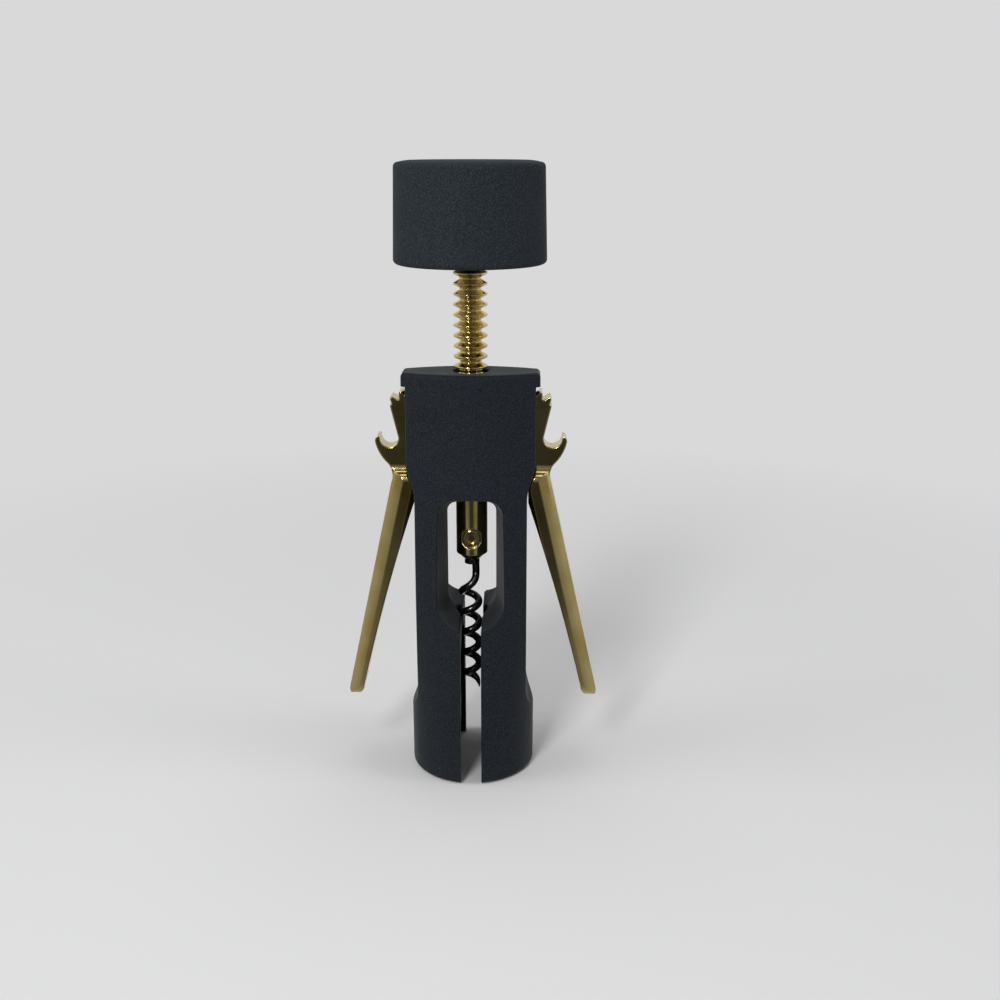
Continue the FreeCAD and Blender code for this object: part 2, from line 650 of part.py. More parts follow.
def make_lever():
    """Right-hand lever: bevelled arm, shoulder, hook and toothed head."""
    body = new_body("lever_right")
    tip_side = "arm_root+arm_lean*(arm_length-arm_tip_half_depth/2)"
    low, low_side, middle, high_side, high = narrowing("arm_gap")
    arm = outline(
        new_sketch(body, "arm_profile", "XZ_Plane"),
        high,
        middle + high_side,
        low + low_side,
        at_pivot("arm_in", "-heel_drop"),
        at_pivot("arm_tip_out*0.762", "-(arm_length*0.947)",
                 "arm_tip_out*0.345", "-(arm_length*0.512)"),
        at_pivot("arm_tip_out*0.886", "-arm_length", "arm_tip_out*0.803", "-(arm_length*0.981)"),
        at_pivot(tip_side, "-(arm_length-arm_tip_half_depth/2)",
                 "arm_tip_out*0.953", "-(arm_length*0.991)"),
        at_pivot("arm_root+arm_lean*neck_drop", "-neck_drop"),
        at_pivot(*reach(HOOK_FOOT), *reach(NECK_SIDE)),
        high,
    )
    pad_both_ways(body, "Pad", "arm", arm, "arm_half_depth*2")

    # the arm seen from its side: an s-shaped shoulder off the head, a slow taper, a round tip
    step = "(arm_half_depth-flat)"
    above = "arm_half_depth*1.5"
    end = "arm_tip_half_depth"
    side = outline(
        new_sketch(body, "arm_side_profile", "YZ_Plane"),
        ("flat", "pivot_z-shoulder_drop"),
        ("flat+%s/2" % step, "pivot_z-shoulder_drop-shoulder_height/2",
         "flat+%s*0.137" % step, "pivot_z-shoulder_drop-shoulder_height*0.305"),
        ("arm_half_depth", "pivot_z-shoulder_drop-shoulder_height",
         "flat+%s*0.863" % step, "pivot_z-shoulder_drop-shoulder_height*0.695"),
        (end, "pivot_z-arm_length+" + end),
        (end + "*0.2", "pivot_z-arm_length", end + "*0.8", "pivot_z-arm_length+%s*0.35" % end),
        (end + "*0.2", "pivot_z-arm_length-" + end),
        (above, "pivot_z-arm_length-" + end),
        (above, "pivot_z"),
        ("flat", "pivot_z"),
        ("flat", "pivot_z-shoulder_drop"),
    )
    cut = pad_both_ways(body, "Pocket", "arm_side", side, "(cap_half_width+arm_length)*2")
    mirrored(body, "arm_sides", cut, "XZ_Plane")

    def out(fall):
        return "pivot_x+arm_root+arm_lean*(%s)" % fall

    def outer_wedge(name, fall):
        return wedge_section(body, name, fall, out(fall) + "-arm_bevel_across", out(fall),
                             "arm_bevel_deep", "arm_bevel_bulge")

    bevel(body, "outer_bevel", outer_wedge("bevel_above", "shoulder_drop/2"),
          outer_wedge("bevel_below", "arm_length*1.02"))

    # the heel's own bevel runs out along the inner side
    bevel(body, "heel_bevel",
          wedge_section(body, "heel_above", "shoulder_drop", "pivot_x+arm_in-heel_bevel*0.46",
                        "pivot_x+arm_in-heel_bevel*1.46", "heel_bevel"),
          wedge_section(body, "heel_below", "heel_drop*2", "pivot_x+arm_tip_out*0.327",
                        "pivot_x+arm_tip_out*0.327-heel_bevel*0.14", "heel_bevel*0.14"))

    pad_both_ways(body, "Pad", "head", head_outline(body), "lever_thickness")
    gap = pad_both_ways(body, "Pocket", "tooth_gap", tooth_gap(body), "lever_thickness*2")

    # the gaps are spread about the pivot's own axis
    pivot = body.newObject("PartDesign::Line", "pivot_axis")
    pivot.AttachmentSupport = [(origin_plane(body, "XZ_Plane"), "")]
    pivot.MapMode = "ObjectZ"
    pivot.setExpression(".AttachmentOffset.Base.x", bound("pivot_x"))
    pivot.setExpression(".AttachmentOffset.Base.y", bound("pivot_z"))
    DOC.recompute()
    gaps = body.newObject("PartDesign::PolarPattern", "tooth_gaps")
    gaps.Originals = [gap]
    gaps.Axis = (pivot, [""])
    gaps.Reversed = True
    bind(gaps, Angle="360/gear_teeth*(last_tooth+2)", Occurrences="last_tooth+3")
    body.Tip = gaps
    DOC.recompute()

    hole = circle(new_sketch(body, "pivot_hole_outline", "XZ_Plane"),
                  ("pivot_x", "pivot_z"), "pin_radius+pin_play")
    pad_both_ways(body, "Pocket", "pivot_hole", hole, "lever_thickness*2")
    return body


def make_left_lever(right):
    """Left-hand lever: the mirror image of the right-hand one."""
    left = DOC.addObject("Part::Mirroring", "lever_left")
    left.Label = "lever_left"
    left.Source = right
    left.Normal = Vector(1, 0, 0)
    return left


def make_lever_pin(name, side):
    """Pivot pin, pressed in from the back and flush with the back wall's thinner side."""
    pin = DOC.addObject("Part::Cylinder", name)
    pin.Label = name
    pin.Placement.Rotation = FreeCAD.Rotation(Vector(1, 0, 0), -90)
    bind(pin, Radius="pin_radius", Height="2*slot_half+pin_blind+pin_behind")
    pin.setExpression(".Placement.Base.x", bound("%d*pivot_x" % side))
    pin.setExpression(".Placement.Base.y", bound("-(slot_half+pin_blind)"))
    pin.setExpression(".Placement.Base.z", bound("pivot_z"))
    return pin


# ---------------------------------------------------------------- spindle, worm and rivet


def make_spindle():
    """Ring rack with the worm socket below it and a plain end for the handle above it."""
    body = new_body("rack_spindle")
    core = outline(
        new_sketch(body, "core_profile", "XZ_Plane"),
        ("0", "hub_bottom"),
        ("hub_radius-hub_chamfer_across", "hub_bottom"),
        ("hub_radius", "hub_bottom+hub_chamfer_high"),
        ("hub_radius", "hub_top"),
        ("ring_root_radius", "hub_top"),
        ("ring_root_radius", "boss_top"),
        ("0", "boss_top"),
        ("0", "hub_bottom"),
    )
    turned(body, "Revolution", "core", core)

    # one ring: straight flanks at the pressure angle, cut off at the tip
    flank = "(ring_radius-(pivot_x-gear_radius))*tan(pressure_angle)"
    root = "((pivot_x-gear_radius)-ring_root_radius)*tan(pressure_angle)"
    ring = outline(
        new_sketch(body, "ring_profile", "XZ_Plane"),
        ("ring_root_radius-0.5", "first_ring-ring_pitch/4-%s" % root),
        ("ring_root_radius", "first_ring-ring_pitch/4-%s" % root),
        ("ring_radius", "first_ring-ring_pitch/4+%s" % flank),
        ("ring_radius", "first_ring+ring_pitch/4-%s" % flank),
        ("ring_root_radius", "first_ring+ring_pitch/4+%s" % root),
        ("ring_root_radius-0.5", "first_ring+ring_pitch/4+%s" % root),
        ("ring_root_radius-0.5", "first_ring-ring_pitch/4-%s" % root),
    )
    one = turned(body, "Revolution", "ring", ring)
    rings = body.newObject("PartDesign::LinearPattern", "rings")
    rings.Originals = [one]
    rings.Direction = (origin_plane(body, "Z_Axis"), [""])
    bind(rings, Length="(ring_count-1)*ring_pitch", Occurrences="ring_count")
    body.Tip = rings
    DOC.recompute()

    socket = circle(new_sketch(body, "socket_outline", "XY_Plane", "hub_bottom"),
                    ("0", "0"), "shank_radius")
    bore = feature(body, "Pocket", "socket", socket, Length="socket_depth")
    bore.Reversed = True
    DOC.recompute()
    rivet = circle(new_sketch(body, "rivet_outline", "XZ_Plane"), ("0", "rivet_z"), "rivet_radius")
    pad_both_ways(body, "Pocket", "rivet_hole", rivet, "hub_radius*4")
    seat = circle(new_sketch(body, "seat_outline", "XZ_Plane", "hub_radius-rivet_seat_depth"),
                  ("0", "rivet_z"), "rivet_seat_radius")
    seat = feature(body, "Pocket", "rivet_seat", seat, Length="hub_radius")
    seat.Reversed = True
    DOC.recompute()
    mirrored(body, "rivet_seats", seat, "XZ_Plane")
    grip = circle(new_sketch(body, "grip_hole_outline", "YZ_Plane"),
                  ("0", "handle_pin_z"), "handle_pin_radius")
    pad_both_ways(body, "Pocket", "grip_hole", grip, "hub_radius*4")
    return body


def make_rivet():
    """Rivet through the socket and the shank, its heads rimmed and hollow in the middle."""
    body = new_body("worm_rivet")
    seat = "hub_radius-rivet_seat_depth"
    profile = (
        ("rivet_head_height-rivet_dish_depth", "0"),
        ("rivet_head_height-rivet_dish_depth", "rivet_radius-rivet_bevel"),
        ("rivet_head_height", "rivet_radius"),
        ("rivet_head_height", "rivet_head_radius-rivet_bevel"),
        ("rivet_head_height-rivet_bevel", "rivet_head_radius"),
        ("0", "rivet_head_radius"),
        ("0", "rivet_radius"),
    )
    front = [("-(%s+%s)" % (seat, out), "rivet_z+%s" % up) for out, up in profile]
    back = [("%s+%s" % (seat, out), "rivet_z+%s" % up) for out, up in reversed(profile)]
    half = outline(new_sketch(body, "rivet_profile", "YZ_Plane"), *front, *back, front[0])
    axis = body.newObject("PartDesign::Line", "rivet_axis")
    axis.AttachmentSupport = [(origin_plane(body, "XZ_Plane"), "")]
    axis.MapMode = "ObjectZ"
    axis.setExpression(".AttachmentOffset.Base.y", bound("rivet_z"))
    DOC.recompute()
    rivet = body.newObject("PartDesign::Revolution", "rivet")
    rivet.Profile = half
    rivet.ReferenceAxis = (axis, [""])
    rivet.Angle = 360
    DOC.recompute()
    return body


def worm_line():
    """Return the worm's centre line from its shank down: points and the wire's radius at each."""
    steps = 12
    radius, pitch, offset = size("helix_radius"), size("helix_pitch"), size("helix_offset")
    start = size("shank_radius-wire_radius")
    shank_end = size("hub_bottom-shank_stub")
    lead_top = shank_end - size("lead_straight")
    lead_bottom = size("helix_top") + pitch / 2
    points = [(Vector(start, 0, shank_end + 1.0), 1.0),
              (Vector(start, 0, (shank_end + lead_top) / 2), 1.0)]
    # from the shank's right side, down the front, to the left: it widens to the helix
    for step in range(steps // 2 + 1):
        share = step / (steps / 2)
        angle = -math.pi * share
        ease = share * share * (3 - 2 * share)
        reach_out = start + (radius - start) * ease
        place = Vector(reach_out * math.cos(angle) - offset * ease, reach_out * math.sin(angle),
                       lead_top + (lead_bottom - lead_top) * share)
        points.append((place, 1.0))
    # the helix, whose last quarter of a turn thins out and drops to the point
    count = int(steps * (size("helix_turns") + 0.5))
    taper = steps // 4
    for step in range(1, count + 1):
        angle = -math.pi - 2 * math.pi * step / steps
        share = max(0.0, (step - (count - taper)) / taper)
        height = lead_bottom - pitch * step / steps - size("point_drop") * share ** 2
        place = Vector(radius * math.cos(angle) - offset, radius * math.sin(angle), height)
        points.append((place, 1.0 - 0.92 * share ** 2))
    return points


def make_worm():
    """Worm: a plain shank in the socket and a wire wound right-handed down to a point."""
    wire_radius = size("wire_radius")
    line = worm_line()
    curve = Part.BSplineCurve()
    curve.interpolate([place for place, _ in line])
    rings = []
    for place, share in line:
        along = curve.tangent(curve.parameter(place))[0]
        ring = Part.Circle(place, along, wire_radius * share)
        rings.append(Part.Wire([ring.toShape()]))
    thick = [number for number, (_, share) in enumerate(line) if share == 1.0]
    body_part = sweep_between(curve, line, thick[-1], wire_radius)
    point_part = Part.makeLoft(rings[thick[-1]:], True, False)
    shank = Part.makeCylinder(
        size("shank_radius"), size("socket_depth-socket_end_gap+shank_stub"),
        Vector(0, 0, size("hub_bottom-shank_stub")))
    hole = Part.makeCylinder(
        size("rivet_radius"), size("hub_radius*2"),
        Vector(0, -size("hub_radius"), size("rivet_z")), Vector(0, 1, 0))
    worm = DOC.addObject("Part::Feature", "worm")
    worm.Label = "worm"
    worm.Shape = shank.fuse([body_part, point_part]).cut(hole).removeSplitter()
    return worm


def sweep_between(curve, line, last, wire_radius):
    """Sweep the wire's circle along the centre line down to one of its points."""
    start = curve.parameter(line[0][0])
    end = curve.parameter(line[last][0])
    path = Part.Wire([curve.toShape(start, end)])
    section = Part.Wire([Part.Circle(line[0][0], curve.tangent(start)[0], wire_radius).toShape()])
    return path.makePipeShell([section], True, True)


# ---------------------------------------------------------------- guide bush


def ring_between(name, outer, inner, bottom, height):
    """Cut a cylinder out of another one, both bound to the sheet."""
    solid = DOC.addObject("Part::Cylinder", name + "_outside")
    bind(solid, Radius=outer, Height=height)
    solid.setExpression(".Placement.Base.z", bound(bottom))
    void = DOC.addObject("Part::Cylinder", name + "_bore")
    bind(void, Radius=inner, Height="(%s)+2" % height)
    void.setExpression(".Placement.Base.z", bound("(%s)-1" % bottom))
    made = DOC.addObject("Part::Cut", name)
    made.Label = name
    made.Base = solid
    made.Tool = void
    return made


def make_guide():
    """Guide bush in its seat under the cap, and the pressed ring that keeps it there."""
    bush = ring_between("guide_bush", "bush_radius", "bush_bore", "bush_bottom", "bush_height")
    ring = ring_between("bush_ring", "bush_seat", "cap_hole", "slot_top",
                        "bush_bottom-bush_end_play-slot_top")
    return bush, ring


# ---------------------------------------------------------------- handle


def make_handle_shell():
    """Handle shell: a slightly flared round cup with a crowned top."""
    body = new_body("handle_shell")
    flare = "(handle_bottom_radius-handle_top_radius)/(handle_top-handle_bottom)"
    bend = "handle_edge_round*(1-sqrt(0.5))"
    shell = outline(
        new_sketch(body, "shell_profile", "XZ_Plane"),
        ("0", "handle_top"),
        ("handle_top_radius-handle_edge_round-handle_crown_width", "handle_top"),
        ("handle_top_radius-handle_edge_round", "handle_top-handle_crown",
         "handle_top_radius-handle_edge_round-handle_crown_width*0.47",
         "handle_top-handle_crown*0.28"),
        ("handle_top_radius", "handle_top-handle_crown-handle_edge_round",
         "handle_top_radius-%s" % bend, "handle_top-handle_crown-%s" % bend),
        ("handle_bottom_radius-%s*handle_edge_round" % flare, "handle_bottom+handle_edge_round"),
        ("handle_bottom_radius-handle_edge_round", "handle_bottom",
         "handle_bottom_radius-%s" % bend, "handle_bottom+%s" % bend),
        ("base_radius", "handle_bottom"),
        ("base_radius", "base_top"),
        ("base_radius-1", "base_top"),
        ("handle_top_radius-handle_wall-1", "handle_top-handle_roof"),
        ("0", "handle_top-handle_roof"),
        ("0", "handle_top"),
    )
    turned(body, "Revolution", "shell", shell)
    return body


def make_handle_base():
    """Base plate of the handle with the boss that grips the spindle's end."""
    body = new_body("handle_base")
    base = outline(
        new_sketch(body, "base_profile", "XZ_Plane"),
        ("ring_root_radius", "handle_bottom"),
        ("base_radius", "handle_bottom"),
        ("base_radius", "base_top"),
        ("boss_radius", "base_top"),
        ("boss_radius", "boss_top"),
        ("ring_root_radius", "boss_top"),
        ("ring_root_radius", "handle_bottom"),
    )
    turned(body, "Revolution", "base", base)
    hole = circle(new_sketch(body, "pin_outline", "YZ_Plane"),
                  ("0", "handle_pin_z"), "handle_pin_radius")
    pad_both_ways(body, "Pocket", "pin_hole", hole, "boss_radius*4")
    return body


def make_handle_pin():
    """Cross pin through the boss and the spindle."""
    pin = DOC.addObject("Part::Cylinder", "handle_pin")
    pin.Label = "handle_pin"
    pin.Placement.Rotation = FreeCAD.Rotation(Vector(0, 1, 0), 90)
    bind(pin, Radius="handle_pin_radius", Height="(boss_radius-handle_pin_inset)*2")
    pin.setExpression(".Placement.Base.x", bound("-(boss_radius-handle_pin_inset)"))
    pin.setExpression(".Placement.Base.z", bound("handle_pin_z"))
    return pin


# ---------------------------------------------------------------- build and export


def build():
    """Make every sub-part in order and return the ones to export."""
    fill_sheet()
    frame = make_frame()
    right = make_lever()
    left = make_left_lever(right)
    bush, ring = make_guide()
    parts = [
        frame, right, left,
        make_lever_pin("lever_pin_right", 1), make_lever_pin("lever_pin_left", -1),
        make_spindle(), make_rivet(), make_worm(), bush, ring,
        make_handle_shell(), make_handle_base(), make_handle_pin(),
    ]
    DOC.recompute()
    return parts


def check(parts):
    """Stop if any object failed or any sub-part has no valid shape."""
    for item in DOC.Objects:
        if "Invalid" in item.State or "Error" in item.State:
            raise RuntimeError("%s did not recompute: %s" % (item.Name, item.State))
    for part in parts:
        if part.Shape.isNull() or not part.Shape.isValid():
            raise RuntimeError("%s has no valid shape" % part.Label)


def export(parts):
    """Write each sub-part to its own file."""
    os.makedirs("parts", exist_ok=True)
    for part in parts:
        part.Shape.exportStep(os.path.join("parts", part.Label + ".step"))
        box = part.Shape.BoundBox
        print("%-16s volume %9.1f  x %7.2f..%7.2f  y %7.2f..%7.2f  z %7.2f..%7.2f  solids %d" % (
            part.Label, part.Shape.Volume, box.XMin, box.XMax, box.YMin, box.YMax,
            box.ZMin, box.ZMax, len(part.Shape.Solids)))


PARTS = build()
check(PARTS)
export(PARTS)
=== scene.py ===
"""Finishes, studio and camera for the wing corkscrew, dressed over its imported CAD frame.

Lengths are metres, like the frame's, unless a name ends in _mm. Colours are sRGB hex values.
"""

import logging
import math
from dataclasses import dataclass, field
from enum import Enum
from typing import Any, Sequence

import bpy
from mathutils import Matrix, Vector

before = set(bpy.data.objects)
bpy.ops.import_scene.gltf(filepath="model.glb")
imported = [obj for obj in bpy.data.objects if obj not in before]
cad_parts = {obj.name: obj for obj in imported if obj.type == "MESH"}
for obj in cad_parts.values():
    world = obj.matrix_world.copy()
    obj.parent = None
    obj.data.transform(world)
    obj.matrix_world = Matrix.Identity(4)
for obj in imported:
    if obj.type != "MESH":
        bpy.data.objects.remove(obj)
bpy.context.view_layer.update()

LOG = logging.getLogger("wing_corkscrew")
MM = 0.001
PLASTIC_IOR = 1.5
EDGE_SAMPLES = 6
# most of a noise's values lie in this span
NOISE_SPAN = {"From Min": 0.3, "From Max": 0.7}

Inputs = dict[str | int, Any]


# ---------------------------------------------------------------- colours and nodes


def linear(code: str) -> tuple[float, float, float, float]:
    """Turn an sRGB hex colour into the linear colour that shaders take.

    Args:
        code: Six hex digits after a hash sign.

    Returns:
        Linear red, green, blue and an alpha of 1.
    """
    def channel(value: float) -> float:
        """Undo the sRGB curve for one channel."""
        return value / 12.92 if value <= 0.04045 else ((value + 0.055) / 1.055) ** 2.4

    parts = [channel(int(code[at:at + 2], 16) / 255) for at in (1, 3, 5)]
    return (parts[0], parts[1], parts[2], 1.0)


def per_metre(size_mm: float) -> float:
    """Return the texture scale at which one cell of a pattern is size_mm wide."""
    return 1.0 / (size_mm * MM)


def add_node(
    tree: bpy.types.NodeTree,
    kind: str,
    settings: dict[str, Any] | None = None,
    inputs: Inputs | None = None,
) -> bpy.types.Node:
    """Add a node, set its properties, and fill or link its inputs.

    Args:
        tree: The node tree that gets the node.
        kind: The node's type name without the ShaderNode prefix.
        settings: Properties of the node itself.
        inputs: Values for sockets, or output sockets to link to them.

    Returns:
        The new node.
    """
    node = tree.nodes.new("ShaderNode" + kind)
    for name, value in (settings or {}).items():
        setattr(node, name, value)
    for name, value in (inputs or {}).items():
        if isinstance(value, bpy.types.NodeSocket):
            tree.links.new(value, node.inputs[name])
        else:
            node.inputs[name].default_value = value
    return node


def new_material(name: str) -> tuple[bpy.types.Material, bpy.types.NodeTree]:
    """Start an empty node material.

    Args:
        name: The material's name.

    Returns:
        The material and its cleared node tree.
    """
    material = bpy.data.materials.new(name)
    material.use_nodes = True
    material.node_tree.nodes.clear()
    return material, material.node_tree


# ---------------------------------------------------------------- finishes


@dataclass(frozen=True)
class Finish:
    """A real material with the surface that its making left on it."""

    name: str
    colour: str

    def surface(self, tree: bpy.types.NodeTree, place: bpy.types.NodeSocket) -> Inputs:
        """Add the patterns of the finish. Each kind of finish has its own.

        Args:
            tree: The node tree that gets the nodes.
            place: Where on the object a point lies.

        Returns:
            The inputs of the finish's shader.
        """
        raise NotImplementedError

    def material(self) -> bpy.types.Material:
        """Build the finish's material.

        Returns:
            The material.
        """
        made, tree = new_material(self.name)
        place = add_node(tree, "TexCoord").outputs["Object"]
        shader = add_node(tree, "BsdfPrincipled", inputs=self.surface(tree, place))
        add_node(tree, "OutputMaterial", inputs={"Surface": shader.outputs[0]})
        return made


@dataclass(frozen=True)
class MatteCoat(Finish):
    """Polyurethane soft-feel coat sprayed on a casting or a moulding: dull, with fine grit."""

    speck: str
    roughness: float
    specular: float
    sheen: float
    sheen_roughness: float = 0.35
    grit_mm: float = 0.32
    grit_layers: float = 3.0
    grit_fineness: float = 0.6
    grit_height_mm: float = 0.03
    grit_strength: float = 0.7
    speck_from: float = 0.42
    cloud_mm: float = 9.0
    cloud_layers: float = 3.0
    smoother_by: float = 0.04
    rougher_by: float = 0.05
    edge_mm: float = 0.55

    def surface(self, tree: bpy.types.NodeTree, place: bpy.types.NodeSocket) -> Inputs:
        """Add the sprayed grit, and clouds of more and less gloss.

        Args:
            tree: The node tree that gets the nodes.
            place: Where on the object a point lies.

        Returns:
            The inputs of the coat's shader.
        """
        grit = add_node(tree, "TexNoise", inputs={
            "Vector": place, "Scale": per_metre(self.grit_mm),
            "Detail": self.grit_layers, "Roughness": self.grit_fineness})
        # sprayed grit breaks the colour into slightly lighter specks
        specks = add_node(tree, "MapRange", inputs=NOISE_SPAN | {
            "Value": grit.outputs[0], "From Min": self.speck_from})
        colour = add_node(tree, "Mix", {"data_type": "RGBA"}, {
            "Factor": specks.outputs[0], 6: linear(self.colour), 7: linear(self.speck)})
        cloud = add_node(tree, "TexNoise", inputs={
            "Vector": place, "Scale": per_metre(self.cloud_mm), "Detail": self.cloud_layers})
        rough = add_node(tree, "MapRange", inputs=NOISE_SPAN | {
            "Value": cloud.outputs[0], "To Min": self.roughness - self.smoother_by,
            "To Max": self.roughness + self.rougher_by})
        # the coat rounds the sharp edges under it
        edge = add_node(tree, "Bevel", {"samples": EDGE_SAMPLES}, {"Radius": self.edge_mm * MM})
        relief = add_node(tree, "Bump", inputs={
            "Height": grit.outputs[0], "Distance": self.grit_height_mm * MM,
            "Strength": self.grit_strength, "Normal": edge.outputs[0]})
        return {
            "Base Color": colour.outputs[2], "Roughness": rough.outputs[0],
            "Normal": relief.outputs[0], "Specular IOR Level": self.specular,
            "IOR": PLASTIC_IOR, "Sheen Weight": self.sheen,
            "Sheen Roughness": self.sheen_roughness}


@dataclass(frozen=True)
class PolishedPlate(Finish):
    """Brass plate on a polished zinc casting: mirror bright, faintly wavy, smeared by touch."""

    tarnish: str
    roughness: float
    tarnish_mm: float = 14.0
    tarnish_layers: float = 2.0
    smear_mm: float = 3.0
    smear_layers: float = 3.0
    clean_share: float = 0.8
    smeared_share: float = 1.3
    wave_mm: float = 5.0
    wave_layers: float = 1.0
    wave_height_mm: float = 0.06
    wave_strength: float = 0.5
    edge_mm: float = 0.6

    def surface(self, tree: bpy.types.NodeTree, place: bpy.types.NodeSocket) -> Inputs:
        """Add clouds of tarnish, smears of touch and the polished skin's waves.

        Args:
            tree: The node tree that gets the nodes.
            place: Where on the object a point lies.

        Returns:
            The inputs of the plate's shader.
        """
        cloud = add_node(tree, "TexNoise", inputs={
            "Vector": place, "Scale": per_metre(self.tarnish_mm),
            "Detail": self.tarnish_layers})
        tarnished = add_node(tree, "MapRange", inputs=NOISE_SPAN | {"Value": cloud.outputs[0]})
        colour = add_node(tree, "Mix", {"data_type": "RGBA"}, {
            "Factor": tarnished.outputs[0], 6: linear(self.colour), 7: linear(self.tarnish)})
        smear = add_node(tree, "TexNoise", inputs={
            "Vector": place, "Scale": per_metre(self.smear_mm), "Detail": self.smear_layers})
        rough = add_node(tree, "MapRange", inputs=NOISE_SPAN | {
            "Value": smear.outputs[0], "To Min": self.roughness * self.clean_share,
            "To Max": self.roughness * self.smeared_share})
        # polishing leaves the casting's skin slightly wavy, and wears its edges round
        wave = add_node(tree, "TexNoise", inputs={
            "Vector": place, "Scale": per_metre(self.wave_mm), "Detail": self.wave_layers})
        edge = add_node(tree, "Bevel", {"samples": EDGE_SAMPLES}, {"Radius": self.edge_mm * MM})
        relief = add_node(tree, "Bump", inputs={
            "Height": wave.outputs[0], "Distance": self.wave_height_mm * MM,
            "Strength": self.wave_strength, "Normal": edge.outputs[0]})
        return {
            "Base Color": colour.outputs[2], "Metallic": 1.0,
            "Roughness": rough.outputs[0], "Normal": relief.outputs[0]}


@dataclass(frozen=True)
class TurnedPlate(Finish):
    """Brass plate on turned steel: satin bright, with the lathe's fine rings round the axis."""

    tarnish: str
    roughness: float
    ring_mm: float = 0.22
    ring_layers: float = 2.0
    ring_wobble: float = 0.6
    ring_height_mm: float = 0.004
    ring_strength: float = 0.6
    tarnish_mm: float = 5.0
    tarnish_layers: float = 3.0
    clean_share: float = 0.85
    tarnished_share: float = 1.15
    edge_mm: float = 0.32

    def surface(self, tree: bpy.types.NodeTree, place: bpy.types.NodeSocket) -> Inputs:
        """Add the lathe's rings, and clouds of tarnish that dull the plate a little.

        Args:
            tree: The node tree that gets the nodes.
            place: Where on the object a point lies.

        Returns:
            The inputs of the plate's shader.
        """
        # the lathe's rings are finer on the real shaft, and drawn as coarse as they need to show
        rings = add_node(tree, "TexWave", {"wave_type": "BANDS", "bands_direction": "Z"}, {
            "Vector": place, "Scale": per_metre(self.ring_mm) / (2 * math.pi),
            "Distortion": self.ring_wobble, "Detail": self.ring_layers})
        cloud = add_node(tree, "TexNoise", inputs={
            "Vector": place, "Scale": per_metre(self.tarnish_mm),
            "Detail": self.tarnish_layers})
        tarnished = add_node(tree, "MapRange", inputs=NOISE_SPAN | {"Value": cloud.outputs[0]})
        colour = add_node(tree, "Mix", {"data_type": "RGBA"}, {
            "Factor": tarnished.outputs[0], 6: linear(self.colour), 7: linear(self.tarnish)})
        rough = add_node(tree, "MapRange", inputs=NOISE_SPAN | {
            "Value": cloud.outputs[0], "To Min": self.roughness * self.clean_share,
            "To Max": self.roughness * self.tarnished_share})
        # tumbling wears the turned edges round
        edge = add_node(tree, "Bevel", {"samples": EDGE_SAMPLES}, {"Radius": self.edge_mm * MM})
        relief = add_node(tree, "Bump", inputs={
            "Height": rings.outputs["Fac"], "Distance": self.ring_height_mm * MM,
            "Strength": self.ring_strength, "Normal": edge.outputs[0]})
        return {
            "Base Color": colour.outputs[2], "Metallic": 1.0,
            "Roughness": rough.outputs[0], "Normal": relief.outputs[0]}


@dataclass(frozen=True)
class BakedCoat(Finish):
    """Non-stick coat baked on hardened steel wire: deep black with a wet gloss."""

    thin: str
    roughness: float
    peel_mm: float = 0.8
    peel_layers: float = 2.0
    peel_height_mm: float = 0.01
    peel_strength: float = 0.5
    smooth_share: float = 0.8
    rough_share: float = 1.3
    gloss: float = 0.4
    gloss_roughness: float = 0.12

    def surface(self, tree: bpy.types.NodeTree, place: bpy.types.NodeSocket) -> Inputs:
        """Add the faint orange peel of a baked coat, under its gloss.

        Args:
            tree: The node tree that gets the nodes.
            place: Where on the object a point lies.

        Returns:
            The inputs of the coat's shader.
        """
        peel = add_node(tree, "TexNoise", inputs={
            "Vector": place, "Scale": per_metre(self.peel_mm), "Detail": self.peel_layers})
        thinned = add_node(tree, "MapRange", inputs=NOISE_SPAN | {"Value": peel.outputs[0]})
        colour = add_node(tree, "Mix", {"data_type": "RGBA"}, {
            "Factor": thinned.outputs[0], 6: linear(self.colour), 7: linear(self.thin)})
        rough = add_node(tree, "MapRange", inputs=NOISE_SPAN | {
            "Value": peel.outputs[0], "To Min": self.roughness * self.smooth_share,
            "To Max": self.roughness * self.rough_share})
        relief = add_node(tree, "Bump", inputs={
            "Height": peel.outputs[0], "Distance": self.peel_height_mm * MM,
            "Strength": self.peel_strength})
        return {
            "Base Color": colour.outputs[2], "Roughness": rough.outputs[0],
            "Normal": relief.outputs[0], "Coat Weight": self.gloss,
            "Coat Roughness": self.gloss_roughness}


